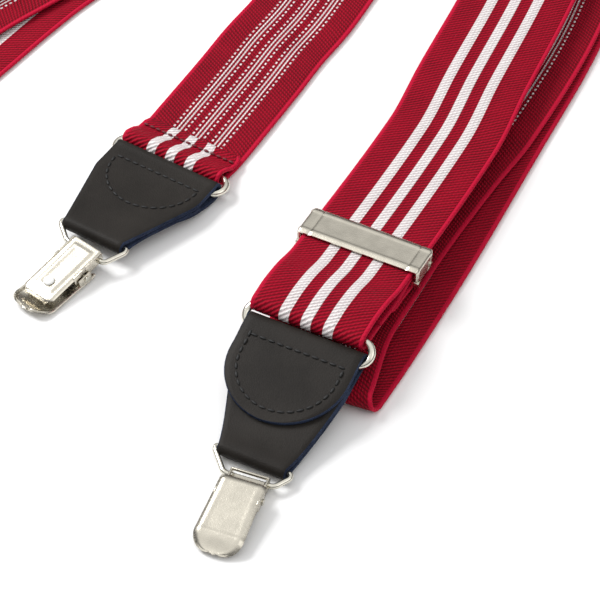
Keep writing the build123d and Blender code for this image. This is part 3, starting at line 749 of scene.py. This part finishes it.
def strip(name, stations, thickness):
    """Leather strip with eased edges: its outer side is the first material, the rest the second."""
    half = thickness / 2
    columns = [i / 8 for i in range(-8, 9)]
    shaped = bmesh.new()
    rows = []
    for middle, across, wide, normal in stations:
        row = []
        for column in columns:
            row.append(middle + across * (column * (wide - 0.25)) + normal * half)
        row.append(middle + across * wide + normal * (half - 0.25))
        row.append(middle + across * wide - normal * (half - 0.2))
        for column in reversed(columns):
            row.append(middle + across * (column * (wide - 0.2)) - normal * half)
        row.append(middle - across * wide - normal * (half - 0.2))
        row.append(middle - across * wide + normal * (half - 0.25))
        rows.append([shaped.verts.new(point * MM) for point in row])
    around = len(rows[0])
    for row, following in zip(rows, rows[1:]):
        for i in range(around):
            j = (i + 1) % around
            face = shaped.faces.new((row[i], row[j], following[j], following[i]))
            face.material_index = 0 if i < len(columns) - 1 else 1
            face.smooth = True
    for row in (rows[0], rows[-1]):
        cap = shaped.faces.new(row)
        cap.material_index = 1
    bmesh.ops.recalc_face_normals(shaped, faces=shaped.faces)
    piece = as_piece(name, shaped)
    piece.data.materials.append(CHARCOAL)
    piece.data.materials.append(SUEDE)
    return piece


def ease(value):
    value = max(0.0, min(1.0, value))
    return value * value * (3 - 2 * value)


def flap_height(down):
    """How far the flap stands out from the tab's middle."""
    return AT_RING + (LAYER_STEP - AT_RING) * ease(down / INNER_END)


def back_height(down):
    return LAYER_STEP + 0.45 * max(0, 1 - down / 7)


def tab_stations(end, hang):
    """Stations of one tab, from its inner end to the tip of its flap."""
    face_normal = end.across.cross(hang).normalized() * end.face
    length = (end.leather_bar - end.loop_bar).dot(hang)
    askew = (end.loop_bar - end.leather_bar).dot(end.across)

    def spot(down, height, shifted=True):
        share = max(0.0, (down - ASKEW_START) / (length - ASKEW_START)) if shifted else 0.0
        sideways = askew * share * (1.4 - 0.4 * share) + TOP_SHIFT * (1 - share)
        return end.leather_bar - hang * down + face_normal * height + end.across * sideways

    def half_width(down):
        share = max(0.0, min(1.0, (down - TAPER_START) / (length - TAPER_START)))
        return (TAB_TOP + (TAB_BOTTOM - TAB_TOP) * share) / 2

    stations = []
    for i in range(13):
        down = INNER_END + (length - INNER_END) * i / 12
        height = AT_LOOP * max(0, (down - (length - 9)) / 9) ** 2
        stations.append((spot(down, height), end.across, half_width(down), face_normal))
    for i in range(1, 10):
        angle = pi * i / 10
        normal = face_normal * cos(angle) - hang * sin(angle)
        stations.append((spot(length, 0) + normal * AT_LOOP, end.across, half_width(length), normal))
    for i in range(17):
        down = length - (length + TOP_RISE) * i / 16
        height = -back_height(down) - 0.15 * max(0, (down - (length - 9)) / 9)
        stations.append((spot(down, height), end.across, half_width(down), face_normal * -1))
    for i in range(1, 10):
        angle = pi * i / 10
        normal = face_normal * -cos(angle) + hang * sin(angle)
        stations.append((spot(-TOP_RISE, 0) + normal * AT_RING, end.across, TAB_TOP / 2, normal))
    flap, radius = FLAP[end.face], TAB_TOP / 2
    downs = [-TOP_RISE] + [(flap - radius) * i / 4 for i in range(4)]
    downs += [flap - radius + radius * sin(radians(angle)) for angle in range(0, 87, 6)]
    downs += [flap - radius + radius * sin(radians(angle)) for angle in (88, 89.2)]
    for down in downs:
        rounding = max(0.0, down - (flap - radius))
        wide = max(0.5, sqrt(radius**2 - rounding**2))
        stations.append((spot(down, flap_height(down), False), end.across, wide, face_normal))
    return stations, face_normal


def d_path(end, hang, normal, layer_height):
    """Closed D on the flap: straight below the ring, and round at the flap's edge."""
    radius = TAB_TOP / 2 - STITCH_INSET
    centre = FLAP[end.face] - TAB_TOP / 2
    top = STITCH_INSET
    lead = sqrt(max(0, radius**2 - max(0, top - centre)**2))
    first = atan2(max(0.0, top - centre), lead)
    points = [(-lead, top)] + [(lead, top)]
    points += [(radius * cos(first + (pi - 2 * first) * i / 40),
                centre + radius * sin(first + (pi - 2 * first) * i / 40)) for i in range(41)]
    points += [(-lead, top)]
    base = end.leather_bar + end.across * TOP_SHIFT
    return [base + end.across * x - hang * down + normal * (layer_height(down) + LEATHER / 2 + 0.08)
            for x, down in points]


for number in ENDS:
    end = ends[number]
    gap = end.leather_bar - end.loop_bar
    hang = (gap - end.across * gap.dot(end.across)).normalized()
    stations, face_normal = tab_stations(end, hang)
    piece = strip(f"leather_strip_{number}", stations, LEATHER)
    finish_piece(piece, CHARCOAL, f"tab_{number}", "leather", f"leather_tab_{number}")
    rows = [(d_path(end, hang, face_normal, flap_height), face_normal),
            (d_path(end, hang, face_normal * -1, back_height), face_normal * -1)]
    sewn = stitches(f"tab_stitches_{number}", rows, 0.42, 2.2, 2.7)
    finish_piece(sewn, BLACK_THREAD, f"tab_{number}",
                 "dark_thread", f"tab_stitching_{number}")


# ---- Clips ---------------------------------------------------------------------------------
# Pressed and nickel plated sheet steel: a smooth front plate with a rounded nose that turns on
# a rivet pin, and a stamped back plate with a raised panel, a white gripping pad and its stud.
PIVOT_Y = -6.5
SHEET = 0.7
FRONT_SLOPE = 8.3
FRONT_START = -3.2
CLIP_HALF_HEIGHT = 3.2
CLIP_HALF_WIDTH = 6.5
NOSE_FLARE = 0.7
NOSE_RADIUS = 5.2
COVER_LENGTH = (26.0 + FRONT_START) / cos(radians(FRONT_SLOPE))
BACK_LENGTH = 23.0
BACK_START = 1.8
BACK_HALF_WIDTH = 5.65
PAD_Y = -14.8
LOOP_HOLE_Z = -0.9


def clip_matrix(end):
    """From the clip's own millimetres to the frame's metres."""
    if end.face > 0:
        axes = (end.clip_right, end.clip_out, UP)
    else:
        axes = (end.clip_right * -1, end.clip_out, UP * -1)
    turn = Matrix(axes).transposed().to_4x4()
    if end.face < 0:
        turn = turn @ Matrix.Rotation(-radians(FRONT_SLOPE), 4, "X")
    turn.translation = end.loop_pivot - turn.to_3x3() @ Vector((0, 0, LOOP_HOLE_Z))
    return Matrix.Scale(MM, 4) @ turn


def sheet_grid(name, across, along):
    """A fine grid from -1 to 1, ready to be shaped."""
    bpy.ops.mesh.primitive_grid_add(x_subdivisions=across, y_subdivisions=along, size=2)
    piece = bpy.context.object
    piece.name = name
    return piece


def bump_at(value, middle, wide):
    """Smooth hump of height 1 at the middle."""
    return max(0.0, 1 - ((value - middle) / wide) ** 2) ** 2


def thicken(piece, thickness, offset):
    """Gives a shaped sheet its thickness and its eased rim."""
    modifier = piece.modifiers.new("wall", "SOLIDIFY")
    modifier.thickness = thickness
    modifier.offset = offset
    rim = piece.modifiers.new("rim", "BEVEL")
    rim.width = thickness * 0.28
    rim.segments = 2
    rim.limit_method = "ANGLE"
    rim.angle_limit = radians(50)
    bpy.context.view_layer.objects.active = piece
    bpy.ops.object.modifier_apply(modifier="wall")
    bpy.ops.object.modifier_apply(modifier="rim")


def block(size, spot, ease_by):
    """Box with eased edges, in mm, as a lug or flange to be joined on."""
    bpy.ops.mesh.primitive_cube_add(size=1, location=spot)
    piece = bpy.context.object
    piece.scale = size
    bpy.ops.object.transform_apply(location=True, rotation=False, scale=True)
    modifier = piece.modifiers.new("rim", "BEVEL")
    modifier.width = ease_by
    modifier.segments = 3
    bpy.ops.object.modifier_apply(modifier="rim")
    return piece


def join(piece, *others):
    bpy.ops.object.select_all(action="DESELECT")
    for other in others + (piece,):
        other.select_set(True)
    bpy.context.view_layer.objects.active = piece
    bpy.ops.object.join()
    bpy.ops.object.select_all(action="DESELECT")


def settle(piece, matrix):
    """Moves a piece's mesh into place, and smooths it except at sharp edges."""
    piece.data.transform(matrix)
    bpy.ops.object.select_all(action="DESELECT")
    piece.select_set(True)
    bpy.context.view_layer.objects.active = piece
    bpy.ops.object.shade_smooth_by_angle(angle=radians(40))
    bpy.ops.object.select_all(action="DESELECT")


def front_plate(name):
    piece = sheet_grid(name, 26, 52)
    for vertex in piece.data.vertices:
        u, v = vertex.co.x, (vertex.co.y + 1) / 2
        to_nose = COVER_LENGTH * v**1.25
        from_top = COVER_LENGTH - to_nose
        half = CLIP_HALF_WIDTH + NOSE_FLARE * from_top / COVER_LENGTH
        if to_nose < NOSE_RADIUS:
            half += sqrt(max(0, NOSE_RADIUS**2 - (NOSE_RADIUS - to_nose) ** 2)) - NOSE_RADIUS
        from_side = half * (1 - abs(u))
        height = -0.7 * (1 - ease(from_side / 1.3)) + 0.06 * bump_at(from_side, 1.9, 0.5)
        height -= 1.5 * (1 - ease(to_nose / 5.0)) + 0.5 * (1 - ease(from_top / 1.2))
        height += 0.1 * bump_at(to_nose, 5.4, 1.0)
        vertex.co = (u * half, -from_top, height)
    thicken(piece, SHEET, -1)
    slope = Matrix.Translation((0, FRONT_START, CLIP_HALF_HEIGHT)) @ Matrix.Rotation(
        radians(FRONT_SLOPE), 4, "X")
    piece.data.transform(slope)
    ears = [block((SHEET, 5.0, 3.2), (side * 6.15, PIVOT_Y - 0.4, 0.5), 0.3) for side in (-1, 1)]
    join(piece, *ears)
    return piece


def back_plate(name):
    piece = sheet_grid(name, 30, 54)
    for vertex in piece.data.vertices:
        u, v = vertex.co.x, (vertex.co.y + 1) / 2
        to_nose = BACK_LENGTH * v
        half = BACK_HALF_WIDTH - max(0.0, 2.0 - to_nose)
        x = u * half
        panel = ease((3.7 - abs(x)) / 0.7) * ease((to_nose - 3.2) / 0.7) * ease(
            (BACK_LENGTH - 1.5 - to_nose) / 0.7)
        inner = ease((2.2 - abs(x)) / 0.5) * ease((to_nose - 5.0) / 0.6) * ease(
            (BACK_LENGTH - 3.0 - to_nose) / 0.6)
        rim = 1 - ease(half * (1 - abs(u)) / 0.8)
        nose = 1 - ease(to_nose / 1.2)
        height = -0.22 * panel + 0.1 * inner + 0.5 * rim + 0.9 * nose
        vertex.co = (x, BACK_START - BACK_LENGTH + to_nose, height - CLIP_HALF_HEIGHT + 0.5)
    for polygon in piece.data.polygons:
        polygon.flip()
    thicken(piece, SHEET - 0.1, -1)
    parts = [block((SHEET, 12.0, 3.4), (side * 5.3, -4.3, -1.2), 0.25) for side in (-1, 1)]
    parts += [block((SHEET, 3.0, 4.4), (side * 5.3, PIVOT_Y, -0.8), 0.3) for side in (-1, 1)]
    parts += [block((2 * BACK_HALF_WIDTH - 0.6, SHEET, 0.9), (0, BACK_START - 0.4, 0.1), 0.2),
              block((7.0, SHEET, 1.3), (0, BACK_START - BACK_LENGTH + 0.5, -2.1), 0.2)]
    join(piece, *parts)
    return piece


def coat_cad(node, coat):
    """Gives a CAD piece, whose shape stays, its material."""
    shown = frame["nodes"][node]
    shown.data.materials.clear()
    shown.data.materials.append(coat)


def plastic_material():
    made, tree, shader = material("white_plastic")
    wear = use(tree, WEAR, Patch_size=3.0, Grain_size=0.3)
    tree.links.new(mix(tree, wear["Patches"], (0.70, 0.70, 0.68, 1), (0.86, 0.86, 0.84, 1)),
                   shader.inputs["Base Color"])
    tree.links.new(sums(tree, "MULTIPLY_ADD", wear["Grains"], 0.2, 0.3), shader.inputs["Roughness"])
    bump = put(tree, "ShaderNodeBump", {"Height": wear["Grains"], "Strength": 0.1, "Distance": 0.0001})
    tree.links.new(bump.outputs["Normal"], shader.inputs["Normal"])
    return made


PLASTIC = plastic_material()
SPRING = nickel_material("spring_steel", (0.45, 0.44, 0.42, 1), 0.38, 0.2)
for number in ENDS:
    end = ends[number]
    matrix = clip_matrix(end)
    cover = front_plate(f"clip_front_plate_{number}")
    settle(cover, matrix)
    finish_piece(cover, NICKEL_PLATE, f"jaw_{number}", "nickel_plate", f"clip_front_{number}")
    back = back_plate(f"clip_back_plate_{number}")
    settle(back, matrix)
    finish_piece(back, NICKEL_PLATE, f"clip_{number}", "nickel_plate", f"clip_back_{number}")
    if end.face < 0:
        bpy.ops.mesh.primitive_uv_sphere_add(segments=28, ring_count=14, radius=1.0)
        stud = bpy.context.object
        stud.name = f"pad_stud_{number}"
        for vertex in stud.data.vertices:
            vertex.co.x *= 1.7
            vertex.co.y = vertex.co.y * 1.7 + PAD_Y
            vertex.co.z = -CLIP_HALF_HEIGHT + 0.1 + vertex.co.z * 0.55
        settle(stud, matrix)
        finish_piece(stud, PLASTIC, f"clip_{number}", "pad_plastic")
    coat_cad(f"clip_pad_{number}", PLASTIC)
    coat_cad(f"clip_spring_{number}", SPRING)
    coat_cad(f"clip_pin_{number}", NICKEL_WIRE)


# ---- Slide adjusters -----------------------------------------------------------------------
# A nickel plated plate lies across the webbing's front. Its ends are folded back into ears that
# hold a toothed lever's pin and the bar that the webbing's sewn end goes round.
ADJUSTER_HALF = 18.2
PLATE_HALF_HEIGHT = 5.6
PLATE_THICKNESS = 0.8
HINGE_Y = 3.6
HINGE_Z = -2.5
PLATE_BOTTOM = MIDDLE + 0.25
BEND = 0.9
EAR = 4.6
GROOVE = 15.4


def adjuster_matrix(number):
    joint = joints[f"lever_{number}_hinge"]
    across = Vector(joint["axis"]).normalized()
    along = Vector(joints[f"adjuster_{number}_slide"]["axis"]).normalized()
    normal = across.cross(along)
    turn = Matrix((across, along, normal)).transposed().to_4x4()
    hinge = Vector(joint["pos_m"]) / MM
    turn.translation = hinge - along * HINGE_Y - normal * HINGE_Z
    return Matrix.Scale(MM, 4) @ turn


for number in FRONT_ENDS:
    plate = sheet_grid(f"adjuster_front_{number}", 110, 22)
    top = PLATE_BOTTOM + PLATE_THICKNESS
    reach = ADJUSTER_HALF + BEND * pi / 2 + EAR
    for vertex in plate.data.vertices:
        u, v = vertex.co.x, vertex.co.y
        gone = abs(u) * reach
        side = 1 if u >= 0 else -1
        turned = max(0.0, min(gone - ADJUSTER_HALF, BEND * pi / 2)) / BEND
        dropped = max(0.0, gone - ADJUSTER_HALF - BEND * pi / 2)
        tall = PLATE_HALF_HEIGHT - 1.6 * ease((dropped - EAR + 2.2) / 2.2)
        from_edge = tall * (1 - abs(v))
        height = -0.3 * (1 - ease(from_edge / 0.9)) - 0.28 * bump_at(gone, GROOVE, 0.55)
        height += 0.18 * bump_at(from_edge, 1.5, 0.7)
        x = min(gone, ADJUSTER_HALF) + (BEND + height) * sin(turned)
        z = top - BEND + (BEND + height) * cos(turned) - dropped
        vertex.co = (side * x, v * tall, z)
    thicken(plate, PLATE_THICKNESS, -1)
    settle(plate, adjuster_matrix(number))
    finish_piece(plate, NICKEL_PLATE, f"adjuster_{number}", "nickel_plate", f"adjuster_plate_{number}")
    for node in ("adjuster_lever", "adjuster_pin", "adjuster_bar"):
        coat_cad(f"{node}_{number}", NICKEL_WIRE)


# ---- Back patch ----------------------------------------------------------------------------
# Two charcoal leather diamonds, one under and one over the crossing, sewn together round the
# edge with black thread.
PATCH_LONG = 66.0
PATCH_SHORT = 42.0
PATCH_CORNER = 6.0
PATCH_TURN = 55.0
PATCH_STITCH_INSET = 3.0


def diamond(inset):
    """Outline of the patch, its corners rounded, this far inside its edge."""
    corners = [Vector((PATCH_LONG / 2, 0, 0)), Vector((0, PATCH_SHORT / 2, 0)),
               Vector((-PATCH_LONG / 2, 0, 0)), Vector((0, -PATCH_SHORT / 2, 0))]
    slant = atan2(PATCH_SHORT, PATCH_LONG)
    shrink = 1 - inset / (PATCH_LONG / 2 * sin(slant))
    corners = [corner * shrink for corner in corners]
    outline = []
    for before, corner, after in zip(corners[-1:] + corners[:-1], corners, corners[1:] + corners[:1]):
        start = corner + (before - corner).normalized() * PATCH_CORNER
        stop = corner + (after - corner).normalized() * PATCH_CORNER
        for i in range(11):
            t = i / 10
            outline.append(start * (1 - t) ** 2 + corner * (2 * t * (1 - t)) + stop * t**2)
    turn = Matrix.Rotation(radians(PATCH_TURN), 3, "Z")
    return [turn @ point for point in outline]


def patch(name, bottom):
    """Leather diamond: smooth above and rough at its edge."""
    rings = [(0.0, 0.1), (0.0, PATCH_LEATHER - 0.3), (0.35, PATCH_LEATHER),
             (2.0, PATCH_LEATHER + 0.02), (3.0, PATCH_LEATHER - 0.12),
             (4.0, PATCH_LEATHER + 0.02), (8.0, PATCH_LEATHER), (13.0, PATCH_LEATHER)]
    shaped = bmesh.new()
    rows = []
    for inset, height in rings:
        rows.append([shaped.verts.new((point + UP * (bottom + height)) * MM)
                     for point in diamond(inset)])
    under = [shaped.verts.new((point + UP * bottom) * MM) for point in diamond(0.2)]
    rows.insert(0, under)
    count = len(under)
    for number, (row, following) in enumerate(zip(rows, rows[1:])):
        for i in range(count):
            j = (i + 1) % count
            face = shaped.faces.new((row[i], row[j], following[j], following[i]))
            face.material_index = 1 if number < 2 else 0
            face.smooth = True
    shaped.faces.new(rows[-1])
    base = shaped.faces.new(list(reversed(under)))
    base.material_index = 1
    bmesh.ops.recalc_face_normals(shaped, faces=shaped.faces)
    piece = as_piece(name, shaped)
    piece.data.materials.append(CHARCOAL)
    piece.data.materials.append(SUEDE)
    return piece


patch_top = OVER + MIDDLE + PATCH_GAP
finish_piece(patch("patch_under", 0.0), CHARCOAL, "root", "leather", "back_patch_under")
finish_piece(patch("patch_top", patch_top), CHARCOAL, "root", "leather", "back_patch_top")
outline = diamond(PATCH_STITCH_INSET)
outline = [point + UP * (patch_top + PATCH_LEATHER - 0.05) for point in outline + outline[:1]]
finish_piece(stitches("patch_stitches", [(outline, UP)]), BLACK_THREAD, "root", "dark_thread",
             "back_patch_stitching")
